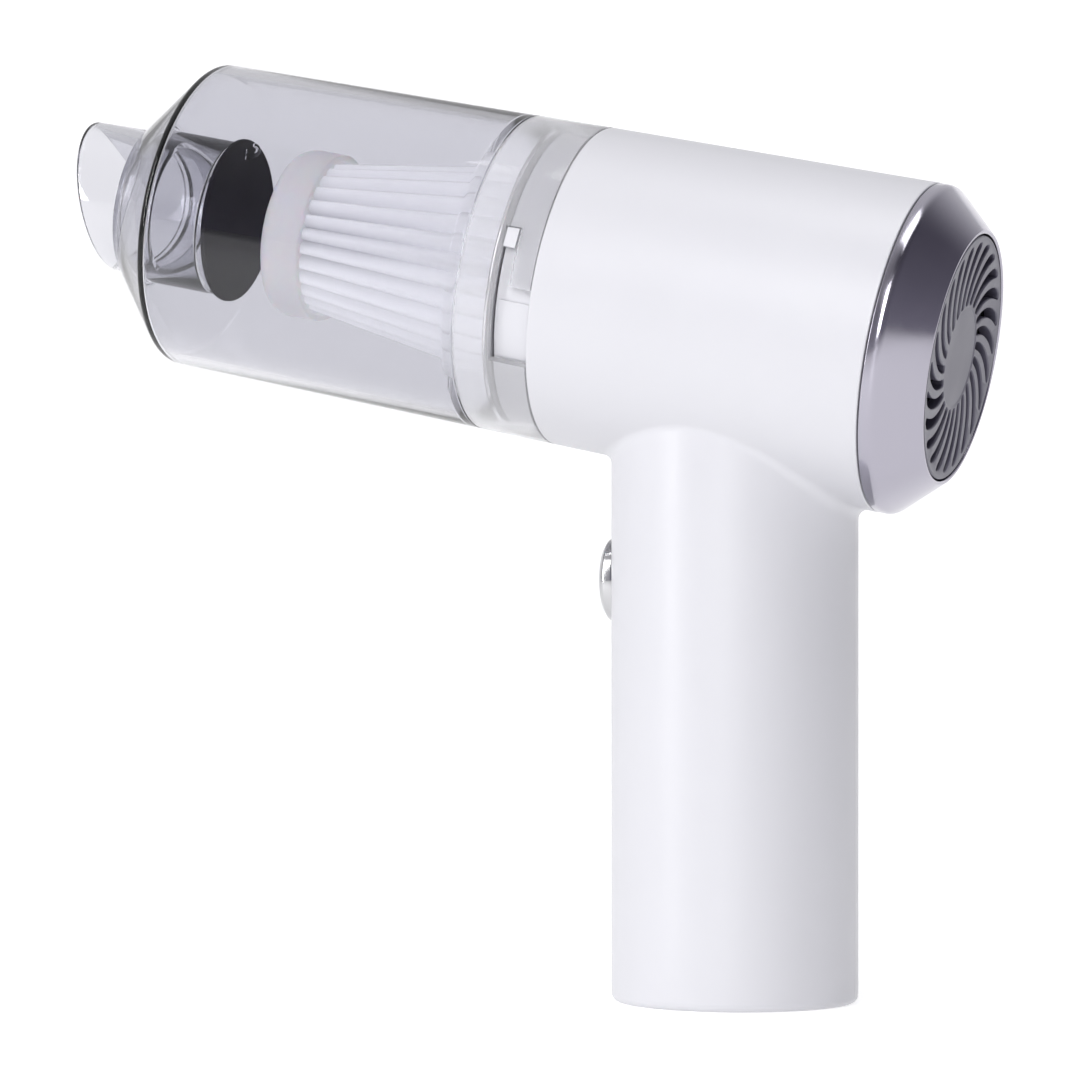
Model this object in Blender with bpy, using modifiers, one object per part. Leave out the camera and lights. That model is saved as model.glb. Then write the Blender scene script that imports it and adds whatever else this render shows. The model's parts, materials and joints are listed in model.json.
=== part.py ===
"""Cordless hand vacuum: a clear dust cup on a tilted barrel, with a straight upright grip.

The origin is the centre of the grip's flat base, with +Z up the grip, -X towards the nozzle and
+X towards the rear grille.  Lengths are in millimetres, and MM turns them into metres.
Barrel pieces are modelled along the barrel's own axis: local +Z points at the nozzle, local +X
is the barrel's upper side, and local z = 0 is the joint between the collar and the housing.
"""
import bmesh
import bpy
from math import atan2, cos, degrees, pi, radians, sin
from mathutils import Matrix, Vector

MM = 0.001
GAP = 0.3                     # space left between pieces that touch

# Barrel axis
BARREL_TILT = 11.2            # degrees that the nozzle end is raised
JOINT_X = -33.76              # where the barrel's joint plane meets its axis
JOINT_Z = 154.5
RING_SEGMENTS = 40
FINE_SEGMENTS = 28
SMALL_SEGMENTS = 12
PIN_SEGMENTS = 10

# Housing
BARREL_R = 35.0               # at the joint plane
BARREL_REAR_R = 35.55
BARREL_REAR_Z = -74.3
BARREL_WALL = 1.9
GRIP_A = 26.7                 # half width along X
GRIP_B = 25.0                 # half width along Y
GRIP_WALL = 2.0
GRIP_TOP = 142.0
BASE_ROUND = 1.3
BASE_OPEN_A = 21.6
BASE_FLOOR = 2.4
SPLIT_GAP = 0.15              # each half stops this far from the middle plane

# Clear front
CUP_REAR_R = 34.8
CUP_FRONT_R = 34.0
CUP_FRONT_Z = 90.8
CUP_REAR_Z = 17.25
CUP_WALL = 1.8
CONE_TIP_R = 17.9
CONE_TIP_Z = 105.8
SOCKET_R = 17.3
SOCKET_BORE_R = 15.95
SOCKET_REAR_Z = 86.4
NOZZLE_R = 16.4
NOZZLE_TIP_R = 15.9
NOZZLE_BORE_R = 14.4
NOZZLE_TOP_Z = 122.3          # the lip's upper edge, ahead of its lower edge
NOZZLE_LOW_Z = 111.4
FLAP_R = 18.3
FLAP_Z = 85.1
FLAP_THICK = 1.0
FLAP_HINGE_H = 15.0           # the hinge is above the barrel axis
FLAP_REST = 3.0               # degrees that the hanging flap stands open

# Collar and neck
COLLAR_FRONT_Z = 16.95
COLLAR_REAR_Z = 0.15
COLLAR_BORE_R = 33.2
NECK_R = 32.4
NECK_FRONT_Z = 8.3
LEG_Z = (4.9, 8.5)            # the bayonet slot's leg, along the barrel
LEG_TOP = 16.6                # angles in degrees above the barrel's left side
WINDOW_TOP = -4.6
WINDOW_LOW = -33.0
LUG_Z = (5.4, 8.1)
LUG_ARC = (9.2, 16.2)
LUG_R = 34.6
PAD_Z = (0.6, 7.3)
PAD_ARC = (-32.5, -10.2)
PAD_R = 32.85

# Filter
PLEATS = 28
PLEAT_FRONT = (16.6, 12.8, 62.0)     # crest radius, valley radius, z
PLEAT_REAR = (24.6, 20.2, 11.3)
PLEAT_CORE_INSET = 1.3

# Rear end
RING_FRONT_Z = -74.6
GRILLE_R = 26.3
GRILLE_SLOTS = 24
SLOT_R = (11.5, 24.6)
SLOT_SWEEP = 24.0             # degrees that a slot turns from hub to rim
SLOT_SHARE = 0.5              # of the pitch

# Fan and motor
FAN_R = 27.0
FAN_BLADES = 9
SHAFT_R = 1.6
SHAFT_BORE_R = 1.95
MOTOR_R = 16.6
MOTOR_FRONT_Z = -31.6
MOTOR_REAR_Z = -66.0

# Power button, on the grip's front
BUTTON_Z = 90.7
BUTTON_FLATTEN = 0.76         # width over height
BEZEL_R = 9.25

# Grip contents
CELL_R = 9.1
CELL_Y = 9.6
CELL_BOTTOM = 8.5
CELL_TOP = 73.6
BOARD_X = (-10.6, -9.0)
PORT_Z = 14.0
LENS_Z = 70.0
SCREW_SPOTS = {               # x, z in the middle plane
    "housing_screw_low_front": (-17.5, 24.0),
    "housing_screw_low_rear": (17.5, 24.0),
    "housing_screw_mid_front": (-17.5, 58.0),
    "housing_screw_mid_rear": (17.5, 92.0),
    "housing_screw_top": (6.1, 175.6),
}
BOSS_R = 3.4
SCREW_HEAD_Y = 7.0

WHITE = ((0.86, 0.86, 0.88, 1), 0.35, 0.0)
CLEAR = ((0.80, 0.80, 0.84, 0.35), 0.05, 0.0)
FROST = ((0.78, 0.78, 0.82, 0.6), 0.3, 0.0)
CHROME = ((0.45, 0.44, 0.50, 1), 0.12, 1.0)
BRIGHT = ((0.85, 0.85, 0.86, 1), 0.08, 1.0)
GREY = ((0.15, 0.145, 0.185, 1), 0.45, 0.0)
BLACK = ((0.02, 0.018, 0.03, 1), 0.5, 0.0)
RUBBER = ((0.35, 0.34, 0.38, 1), 0.7, 0.0)
PAPER = ((0.85, 0.85, 0.87, 1), 0.9, 0.0)
STEEL = ((0.55, 0.55, 0.56, 1), 0.3, 1.0)
COPPER = ((0.72, 0.36, 0.18, 1), 0.4, 1.0)
BOARD_GREEN = ((0.02, 0.18, 0.08, 1), 0.5, 0.0)
CELL_BLUE = ((0.05, 0.2, 0.45, 1), 0.4, 0.0)
RED = ((0.6, 0.03, 0.03, 1), 0.5, 0.0)


# ---------------------------------------------------------------- helpers

def clear_scene():
    for obj in list(bpy.data.objects):
        bpy.data.objects.remove(obj)


def make_collection(name):
    collection = bpy.data.collections.new(name)
    bpy.context.scene.collection.children.link(collection)
    return collection


def make_material(name, look):
    color, roughness, metallic = look
    material = bpy.data.materials.new(name)
    material.use_nodes = True
    shader = material.node_tree.nodes["Principled BSDF"]
    shader.inputs["Base Color"].default_value = color
    shader.inputs["Roughness"].default_value = roughness
    shader.inputs["Metallic"].default_value = metallic
    material.diffuse_color = color
    return material


def add_object(name, data, look=None, frame=None, at=(0, 0, 0), turn=(0, 0, 0), scale=(1, 1, 1)):
    """Link data as a part with its own material, or as a hidden cutter when look is None."""
    obj = bpy.data.objects.new(name, data)
    obj.parent = frame
    obj.location = Vector(at) * MM
    obj.rotation_euler = turn
    obj.scale = scale
    if look is None:
        CUTTERS.objects.link(obj)
        obj.hide_render = True
        obj.display_type = "WIRE"
    else:
        PARTS.objects.link(obj)
        data.materials.append(make_material(name, look))
    return obj


def turned(name, profile, look=None, segments=RING_SEGMENTS, **place):
    """Turn a (radius, height) profile, listed down its outer side, about the local Z axis."""
    mesh = bpy.data.meshes.new(name)
    points = [(radius * MM, 0.0, height * MM) for radius, height in profile]
    edges = [(i, i + 1) for i in range(len(points) - 1)]
    if profile[0][0] > 0 and profile[-1][0] > 0:
        edges.append((len(points) - 1, 0))
    mesh.from_pydata(points, edges, [])
    obj = add_object(name, mesh, look, **place)
    screw = obj.modifiers.new("Turn", "SCREW")
    screw.steps = segments
    screw.render_steps = segments
    screw.use_merge_vertices = True
    screw.merge_threshold = 0.000001
    screw.use_smooth_shade = True
    return obj


def curve_to_mesh(name, curve, look, **place):
    """Turn a curve into a welded mesh object, so that it can take and make cuts."""
    holder = bpy.data.objects.new(name + "_curve", curve)
    CUTTERS.objects.link(holder)
    depsgraph = bpy.context.evaluated_depsgraph_get()
    mesh = bpy.data.meshes.new_from_object(holder.evaluated_get(depsgraph))
    bpy.data.objects.remove(holder)
    shape = bmesh.new()
    shape.from_mesh(mesh)
    bmesh.ops.remove_doubles(shape, verts=shape.verts, dist=0.000001)
    bmesh.ops.recalc_face_normals(shape, faces=shape.faces)
    shape.to_mesh(mesh)
    shape.free()
    mesh.name = name
    return add_object(name, mesh, look, **place)


def plate(name, outlines, low, high, look=None, **place):
    """Extrude flat (x, y) outlines from height low to height high."""
    curve = bpy.data.curves.new(name, "CURVE")
    curve.dimensions = "2D"
    curve.fill_mode = "BOTH"
    curve.extrude = (high - low) * MM / 2
    for outline in outlines:
        spline = curve.splines.new("POLY")
        spline.points.add(len(outline) - 1)
        spline.use_cyclic_u = True
        for point, (x, y) in zip(spline.points, outline):
            point.co = (x * MM, y * MM, 0, 1)
    obj = curve_to_mesh(name, curve, look, **place)
    obj.data.transform(Matrix.Translation((0, 0, (low + high) * MM / 2)))
    return obj


def wire(name, points, radius, look, sides=2, **place):
    """A round wire of the given radius through the points."""
    curve = bpy.data.curves.new(name, "CURVE")
    curve.dimensions = "3D"
    curve.bevel_depth = radius * MM
    curve.bevel_resolution = sides
    curve.use_fill_caps = True
    spline = curve.splines.new("POLY")
    spline.points.add(len(points) - 1)
    for point, place_mm in zip(spline.points, points):
        point.co = (*(Vector(place_mm) * MM), 1)
    return curve_to_mesh(name, curve, look, **place)


def box(name, low, high, look=None, **place):
    shape = bmesh.new()
    bmesh.ops.create_cube(shape, size=1.0)
    size = Vector(high) - Vector(low)
    middle = (Vector(high) + Vector(low)) / 2
    bmesh.ops.scale(shape, vec=size * MM, verts=shape.verts)
    bmesh.ops.translate(shape, vec=middle * MM, verts=shape.verts)
    mesh = bpy.data.meshes.new(name)
    shape.to_mesh(mesh)
    shape.free()
    return add_object(name, mesh, look, **place)


def pins(name, spots, look=None):
    """Cylinders along Y, each given as (x, z, radius, low y, high y)."""
    shape = bmesh.new()
    for x, z, radius, low, high in spots:
        matrix = Matrix.Translation(Vector((x, (low + high) / 2, z)) * MM) @ Matrix.Rotation(pi / 2, 4, "X")
        bmesh.ops.create_cone(shape, cap_ends=True, segments=PIN_SEGMENTS, radius1=radius * MM,
                              radius2=radius * MM, depth=(high - low) * MM, matrix=matrix)
    mesh = bpy.data.meshes.new(name)
    shape.to_mesh(mesh)
    shape.free()
    return add_object(name, mesh, look)


def boolean(obj, operation, other):
    """Join or cut, then triangulate, so that the next cut starts from flat faces."""
    modifier = obj.modifiers.new(operation.title(), "BOOLEAN")
    modifier.operation = operation
    modifier.solver = "EXACT"
    modifier.object = other
    obj.modifiers.new("Triangulate", "TRIANGULATE")


def arc(center, radius, start, end, steps):
    """Points on an arc, with angles in degrees."""
    angles = [radians(start + (end - start) * i / steps) for i in range(steps + 1)]
    return [(center[0] + radius * cos(a), center[1] + radius * sin(a)) for a in angles]


def side_angle(above):
    """Turn degrees above the barrel's left side into an angle from its local +X."""
    return above - 90.0


def sector(inner, outer, start, end, steps=6):
    """The outline of a ring sector, with angles in degrees from +X."""
    return arc((0, 0), outer, start, end, steps) + arc((0, 0), inner, end, start, steps)


def twice(start, end, inner, outer):
    """A sector and its opposite one, half a turn round."""
    return [sector(inner, outer, start + half, end + half) for half in (0, 180)]


def barrel_to_world(h, y, z):
    """Barrel coordinates (up, across, forward) as world millimetres."""
    tilt = radians(BARREL_TILT)
    return Vector((JOINT_X - z * cos(tilt) + h * sin(tilt), y, JOINT_Z + z * sin(tilt) + h * cos(tilt)))


def smooth_path(points, steps=4):
    """Catmull-Rom points through a list of points."""
    points = [Vector(p) for p in points]
    ends = [points[0] * 2 - points[1]] + points + [points[-1] * 2 - points[-2]]
    path = []
    for a, b, c, d in zip(ends, ends[1:], ends[2:], ends[3:]):
        for i in range(steps):
            t = i / steps
            path.append(0.5 * (2 * b + (c - a) * t + (2 * a - 5 * b + 4 * c - d) * t * t
                               + (3 * b - a - 3 * c + d) * t ** 3))
    path.append(points[-1])
    return path


# ---------------------------------------------------------------- housing

def grip_solid(name, a, b, low, high, rounding=0.0):
    """The grip's elliptical column, or its core."""
    profile = [(0, high), (a, high), (a, low + rounding)]
    if rounding:
        profile += arc((a - rounding, low + rounding), rounding, 0, -90, 3)[1:]
    else:
        profile = profile[:2] + [(a, low)]
    profile.append((0, low))
    return turned(name, profile, scale=(1, b / a, 1))


def make_housing(barrel):
    outer = turned("housing_outer", [(0, -0.15), (BARREL_R - 0.3, -0.15), (BARREL_R, -0.45),
                                     (BARREL_REAR_R, BARREL_REAR_Z + 0.3),
                                     (BARREL_REAR_R - 0.3, BARREL_REAR_Z), (0, BARREL_REAR_Z)], frame=barrel)
    boolean(outer, "UNION", grip_solid("grip_outer", GRIP_A, GRIP_B, 0, GRIP_TOP, BASE_ROUND))

    # bosses stop inside the wall, so that they never show outside
    bosses = pins("bosses", [(x, z, BOSS_R, -40, 40) for x, z in SCREW_SPOTS.values()])
    trim = turned("boss_trim_barrel", [(0, -1), (34.2, -1), (34.8, -73), (0, -73)], frame=barrel)
    boolean(trim, "UNION", grip_solid("boss_trim_grip", GRIP_A - 0.9, GRIP_B - 0.9, 1.2, GRIP_TOP - 2))
    boolean(bosses, "INTERSECT", trim)

    bore = BARREL_R - BARREL_WALL + 0.1
    core = turned("barrel_core", [(0, 2), (bore, 2), (bore, -12.6), (30.6, -12.6), (30.6, -14.6),
                                  (bore + 0.1, -14.6), (bore + 0.4, -57.2), (31.6, -57.2), (31.6, -59.0),
                                  (bore + 0.4, -59.0), (33.9, -76), (0, -76)], frame=barrel)
    grip_core = grip_solid("grip_core", GRIP_A - GRIP_WALL, GRIP_B - GRIP_WALL, BASE_FLOOR, GRIP_TOP + 3)
    base_hole = grip_solid("base_hole", BASE_OPEN_A, BASE_OPEN_A - GRIP_A + GRIP_B, -1, BASE_FLOOR + 1)

    boolean(core, "UNION", grip_core)
    boolean(outer, "DIFFERENCE", core)
    boolean(outer, "UNION", bosses)
    counterbores = pins("screw_counterbores", [(x, z, 2.7, SCREW_HEAD_Y, 45) for x, z in SCREW_SPOTS.values()])
    bores = pins("screw_bores", [(x, z, 1.6, -9, SCREW_HEAD_Y + 1) for x, z in SCREW_SPOTS.values()])
    front = {"turn": (0, -pi / 2, 0)}
    button_hole = turned("button_hole", [(0, 32), (BEZEL_R + GAP, 32), (BEZEL_R + GAP, 20), (0, 20)],
                         segments=FINE_SEGMENTS, at=(0, 0, BUTTON_Z), scale=(1, BUTTON_FLATTEN, 1), **front)
    lens_hole = turned("lens_hole", [(0, 32), (1.55, 32), (1.55, 20), (0, 20)], segments=SMALL_SEGMENTS,
                       at=(0, 0, LENS_Z), **front)
    port_hole = plate("port_hole", [pill(9.7, 4.1)], 20, 32, at=(0, 0, PORT_Z), **front)
    shared_holes = (base_hole, bores, button_hole, lens_hole, port_hole)
    for name, side, holes in (("housing_left", -1, shared_holes),
                              ("housing_right", 1, (*shared_holes, counterbores))):
        low, high = sorted((side * SPLIT_GAP, side * 60))
        half = box(name, (-100, low, -10), (100, high, 230), WHITE)
        boolean(half, "INTERSECT", outer)
        for hole in holes:
            boolean(half, "DIFFERENCE", hole)


def pill(width, height, steps=6):
    """A slot outline: x is the height direction and y the width direction."""
    radius = height / 2
    reach = width / 2 - radius
    return arc((0, reach), radius, 0, 180, steps) + arc((0, -reach), radius, 180, 360, steps)


def make_base_cap():
    lip = BASE_OPEN_A - GAP
    flatten = (lip - GRIP_A + GRIP_B) / lip
    turned("base_cap", [(0, 4.1), (23.6, 4.1), (23.6, BASE_FLOOR + GAP), (lip, BASE_FLOOR + GAP), (lip, 0.3),
                        (lip - 0.3, 0), (0, 0)], WHITE, segments=FINE_SEGMENTS,
           scale=(1, flatten, 1))


# ---------------------------------------------------------------- neck and collar

def make_neck(barrel):
    neck = turned("neck_ring", [(31.9, NECK_FRONT_Z), (NECK_R, 7.8), (NECK_R, -0.2), (32.8, -0.6),
                                (32.8, -12.2), (30.4, -12.2), (30.4, 5.6), (25.6, 5.6),
                                (25.6, NECK_FRONT_Z)], WHITE, frame=barrel)
    lugs = plate("lugs", twice(side_angle(LUG_ARC[0]), side_angle(LUG_ARC[1]), 31.4, LUG_R), *LUG_Z,
                 frame=barrel)
    pads = plate("pads", twice(side_angle(PAD_ARC[0]), side_angle(PAD_ARC[1]), 31.4, PAD_R), *PAD_Z,
                 frame=barrel)
    boolean(neck, "UNION", lugs)
    boolean(neck, "UNION", pads)


def make_collar(twist):
    collar = turned("bayonet_collar", [(34.55, COLLAR_FRONT_Z), (CUP_REAR_R, COLLAR_FRONT_Z - 0.25),
                                       (BARREL_R, COLLAR_REAR_Z + 0.25), (34.75, COLLAR_REAR_Z),
                                       (COLLAR_BORE_R, COLLAR_REAR_Z), (COLLAR_BORE_R, COLLAR_FRONT_Z)],
                    FROST, frame=twist)
    legs = plate("slot_legs", twice(side_angle(WINDOW_TOP - 3), side_angle(LEG_TOP), 30, 40), *LEG_Z,
                 frame=twist)
    windows = plate("slot_windows", twice(side_angle(WINDOW_LOW), side_angle(WINDOW_TOP), 30, 40), -2,
                    LEG_Z[1], frame=twist)
    boolean(collar, "DIFFERENCE", legs)
    boolean(collar, "DIFFERENCE", windows)


def make_cup_seal(barrel):
    turned("cup_seal", [(31.9, 10.1), (32.4, 9.8), (32.4, 8.6), (26.6, 8.6), (26.6, 10.1)], RUBBER, frame=barrel)


# ---------------------------------------------------------------- dust cup and nozzle

def make_dust_cup(cup):
    inner_rear_r = CUP_REAR_R - CUP_WALL
    inner_front_r = CUP_FRONT_R - CUP_WALL
    spigot_r = COLLAR_BORE_R - 0.4
    turned("dust_cup", [
        (SOCKET_R - 0.4, CONE_TIP_Z + 0.6), (CONE_TIP_R + 0.2, CONE_TIP_Z + 0.3), (23.2, 102.3), (28.6, 97.8),
        (CUP_FRONT_R - 0.6, CUP_FRONT_Z + 1.8), (CUP_FRONT_R, CUP_FRONT_Z - 0.1), (CUP_REAR_R, CUP_REAR_Z + 0.2),
        (CUP_REAR_R - 0.2, CUP_REAR_Z), (spigot_r, CUP_REAR_Z), (spigot_r, 10.4), (31.2, 10.4), (31.2, CUP_REAR_Z + 0.5),
        (inner_rear_r, CUP_REAR_Z + 2.5), (inner_front_r, CUP_FRONT_Z), (27.3, 96.4), (22.0, 100.8),
        (SOCKET_R + 0.8, CONE_TIP_Z - 1.6), (SOCKET_R, CONE_TIP_Z - 2.4), (SOCKET_R, SOCKET_REAR_Z + 0.3),
        (SOCKET_R - 0.3, SOCKET_REAR_Z), (SOCKET_BORE_R, SOCKET_REAR_Z), (SOCKET_BORE_R, CONE_TIP_Z + 0.6)],
        CLEAR, frame=cup)


def make_nozzle(cup):
    nozzle = turned("nozzle", [(NOZZLE_TIP_R, 130), (NOZZLE_R, 107.1), (15.6, 107.1), (15.6, 98.4),
                               (14.2, 98.4), (NOZZLE_BORE_R, 130)], CLEAR, frame=cup)
    slope = atan2(NOZZLE_TOP_Z - NOZZLE_LOW_Z, 2 * NOZZLE_R)
    blade = box("lip_cut", (-40, -40, 0), (40, 40, 40), frame=cup,
                at=(0, 0, (NOZZLE_TOP_Z + NOZZLE_LOW_Z) / 2), turn=(0, -slope, 0))
    boolean(nozzle, "DIFFERENCE", blade)


def make_flap(cup):
    """The inlet flap, whose origin is on its hinge line, and the fixed hook that it hangs on."""
    hinge = {"frame": cup, "at": (FLAP_HINGE_H, 0, FLAP_Z), "turn": (0, radians(-FLAP_REST), 0)}
    half = FLAP_THICK / 2
    flap = plate("inlet_flap", [arc((-FLAP_HINGE_H, 0), FLAP_R, 0, 360, FINE_SEGMENTS)[:-1]], -half, half, BLACK,
                 **hinge)
    boolean(flap, "DIFFERENCE", box("flap_slot", (-1.25, -1.35, -3), (1.25, 1.35, 3), **hinge))
    path = smooth_path([(15.0, 0, 92.5), (15.0, 0, 89.0), (15.0, 0, 85.6), (15.1, 0, 83.6), (16.0, 0, 82.6),
                        (17.3, 0, 83.0)], 3)
    wire("flap_hook", path, 0.7, CLEAR, frame=cup)


# ---------------------------------------------------------------- filter

def make_filter(barrel):
    turned("filter_cap", [(0, 71.0)] + arc((15.0, 67.2), 3.8, 90, 0, 4)
           + [(18.8, 60.8), (17.3, 60.8), (17.3, 62.3), (0, 62.3)], FROST, frame=barrel)
    make_pleats(barrel)
    turned("filter_base", [(25.9, 13.5), (25.9, 8.7), (25.1, 8.7), (25.1, 7.8), (24.0, 7.8), (24.0, 6.0),
                           (25.1, 6.0), (25.1, 3.0), (19.0, 3.0), (19.0, 11.0), (25.0, 11.0), (25.0, 13.5)],
           FROST, segments=FINE_SEGMENTS, frame=barrel)
    turned("filter_seal", [(25.3, 7.4), (25.3, 6.4), (24.3, 6.4), (24.3, 7.4)], RUBBER,
           segments=FINE_SEGMENTS, frame=barrel)


def make_pleats(barrel):
    """A pleated cone: a folded outer skin round a smooth open core."""
    shape = bmesh.new()
    rings = []
    for crest, valley, z in (PLEAT_FRONT, PLEAT_REAR):
        for is_core in (False, True):
            ring = []
            for i in range(2 * PLEATS):
                radius = valley - PLEAT_CORE_INSET if is_core else (crest, valley)[i % 2]
                angle = pi * i / PLEATS
                ring.append(shape.verts.new(Vector((radius * cos(angle), radius * sin(angle), z)) * MM))
            rings.append(ring)
    front_skin, front_core, rear_skin, rear_core = rings
    for first, second in ((front_skin, rear_skin), (rear_skin, rear_core), (rear_core, front_core),
                          (front_core, front_skin)):
        for i in range(2 * PLEATS):
            j = (i + 1) % (2 * PLEATS)
            shape.faces.new((first[j], first[i], second[i], second[j]))
    bmesh.ops.recalc_face_normals(shape, faces=shape.faces)
    mesh = bpy.data.meshes.new("filter_pleats")
    shape.to_mesh(mesh)
    shape.free()
    add_object("filter_pleats", mesh, PAPER, frame=barrel)


# ---------------------------------------------------------------- rear end

def make_rear_ring(barrel):
    turned("rear_ring", [(33.2, -67.0), (33.2, RING_FRONT_Z), (BARREL_REAR_R, RING_FRONT_Z), (35.6, -75.2),
                         (35.5, -76.4), (34.9, -77.6), (33.8, -79.1), (27.3, -86.1), (26.9, -86.4),
                         (26.6, -86.2), (26.6, -84.0), (31.6, -79.0), (31.6, -67.0)], CHROME, frame=barrel)


def slot_outline(index):
    """One swirl slot, from hub to rim, turning as it goes out."""
    pitch = 360.0 / GRILLE_SLOTS
    inner, outer = SLOT_R
    sides = ([], [])
    steps = 3
    for i in range(steps + 1):
        share = i / steps
        radius = inner + (outer - inner) * share
        middle = index * pitch + SLOT_SWEEP * share ** 1.3
        for side, points in zip((-1, 1), sides):
            angle = radians(middle + side * pitch * SLOT_SHARE / 2)
            points.append((radius * cos(angle), radius * sin(angle)))
    return sides[0] + sides[1][::-1]


def make_grille(barrel):
    grille = turned("rear_grille", [(0, -82.9), (GRILLE_R, -82.9), (GRILLE_R, -85.7), (25.8, -86.1),
                                    (25.2, -85.9), (11.5, -85.1), (0, -85.1)], GREY, frame=barrel)
    slots = plate("grille_slots", [slot_outline(i) for i in range(GRILLE_SLOTS)], -90, -80, frame=barrel)
    boolean(grille, "DIFFERENCE", slots)
    turned("exhaust_foam", [(0, -79.2), (26.8, -79.2), (26.8, -82.2), (0, -82.2)], BLACK,
           segments=FINE_SEGMENTS, frame=barrel)


# ---------------------------------------------------------------- fan and motor

def blade_outline(index):
    """A backward-curved fan blade."""
    angle = 360.0 * index / FAN_BLADES
    front, back = [], []
    steps = 4
    for i in range(steps + 1):
        share = i / steps
        radius = 7.0 + (FAN_R - 0.5 - 7.0) * share
        turn = angle + 48.0 * share
        half = degrees(0.45 / radius)
        front.append((radius * cos(radians(turn + half)), radius * sin(radians(turn + half))))
        back.append((radius * cos(radians(turn - half)), radius * sin(radians(turn - half))))
    return front + back[::-1]


def make_fan(barrel, spin):
    turned("fan_shroud", [(9.5, -14.9), (32.9, -14.9), (32.9, -29.0), (31.3, -29.0), (31.3, -17.1),
                          (9.5, -17.1)], WHITE, frame=barrel)
    fan = turned("impeller", [(5.5, -18.2), (7.2, -24.6), (FAN_R, -26.2), (FAN_R, -27.5),
                              (SHAFT_BORE_R, -27.5), (SHAFT_BORE_R, -18.2)], GREY, segments=FINE_SEGMENTS,
                 frame=spin)
    blades = plate("fan_blades", [blade_outline(i) for i in range(FAN_BLADES)], -26.9, -18.6, frame=spin)
    boolean(fan, "UNION", blades)
    turned("fan_nut", [(3.0, -14.2), (3.3, -14.5), (3.3, -17.8), (SHAFT_BORE_R, -17.8), (SHAFT_BORE_R, -14.2)],
           STEEL, segments=6, frame=spin)
    diffuser = turned("diffuser", [(4.0, -29.4), (32.9, -29.4), (32.9, -31.2), (4.0, -31.2)], GREY,
                      segments=FINE_SEGMENTS, frame=barrel)
    vents = [sector(20, 29.5, start, start + 24, 3) for start in range(0, 360, 36)]
    boolean(diffuser, "DIFFERENCE", plate("diffuser_vents", vents, -34, -27, frame=barrel))


def make_motor(barrel, spin):
    turned("motor_can", [(SHAFT_BORE_R, MOTOR_FRONT_Z), (MOTOR_R - 0.6, MOTOR_FRONT_Z),
                         (MOTOR_R, MOTOR_FRONT_Z - 0.6), (MOTOR_R, MOTOR_REAR_Z), (MOTOR_R - 1.4, MOTOR_REAR_Z),
                         (MOTOR_R - 1.4, -33.4), (SHAFT_BORE_R, -33.4)], STEEL, segments=FINE_SEGMENTS,
           frame=barrel)
    bell = turned("motor_end_bell", [(SHAFT_BORE_R, -66.3), (16.3, -66.3), (16.3, -69.4), (9.0, -71.0),
                                     (SHAFT_BORE_R, -71.0)], BLACK, segments=FINE_SEGMENTS, frame=barrel)
    for side in (-5, 5):
        tab = box("motor_tab", (-9.6, side - 1.2, -74.0), (-9.0, side + 1.2, -68.0), frame=barrel)
        boolean(bell, "UNION", tab)
    turned("motor_shaft", [(0, -13.4), (SHAFT_R - 0.3, -13.4), (SHAFT_R, -13.8), (SHAFT_R, -70.2), (0, -70.2)],
           STEEL, segments=SMALL_SEGMENTS, frame=spin)
    turned("motor_armature", [(4.0, -36.0), (9.3, -37.0), (9.3, -39.2), (10.8, -39.2), (10.8, -57.0),
                              (9.3, -57.0), (9.3, -59.0), (4.0, -60.0), (4.0, -64.5), (SHAFT_BORE_R, -64.5),
                              (SHAFT_BORE_R, -36.0)], COPPER, segments=SMALL_SEGMENTS, frame=spin)
    for name, start in (("motor_magnet_upper", -62), ("motor_magnet_lower", 118)):
        plate(name, [sector(11.5, MOTOR_R - 1.75, start, start + 124, 8)], -59.5, -36.5, BLACK, frame=barrel)
    turned("motor_damper", [(18.5, -60.5), (18.5, -65.5), (MOTOR_R + GAP, -65.5), (MOTOR_R + GAP, -60.5)],
           RUBBER, segments=FINE_SEGMENTS, frame=barrel)
    bracket = turned("motor_bracket", [(21.2, -60.5), (21.2, -65.5), (18.8, -65.5), (18.8, -60.5)], GREY,
                     segments=FINE_SEGMENTS, frame=barrel)
    arms = []
    for angle in (45, 135, 225, 315):
        half = 4.5
        arms.append(sector(20.0, 33.1, angle - half, angle + half, 2))
    boolean(bracket, "UNION", plate("bracket_arms", arms, -63.6, -60.7, frame=barrel))


# ---------------------------------------------------------------- power button

def front_facing(height, flatten=1.0):
    """Place a turned piece so that its local Z points out of the grip's front."""
    return {"at": (0, 0, height), "turn": (0, -pi / 2, 0), "scale": (1, flatten, 1)}


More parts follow.
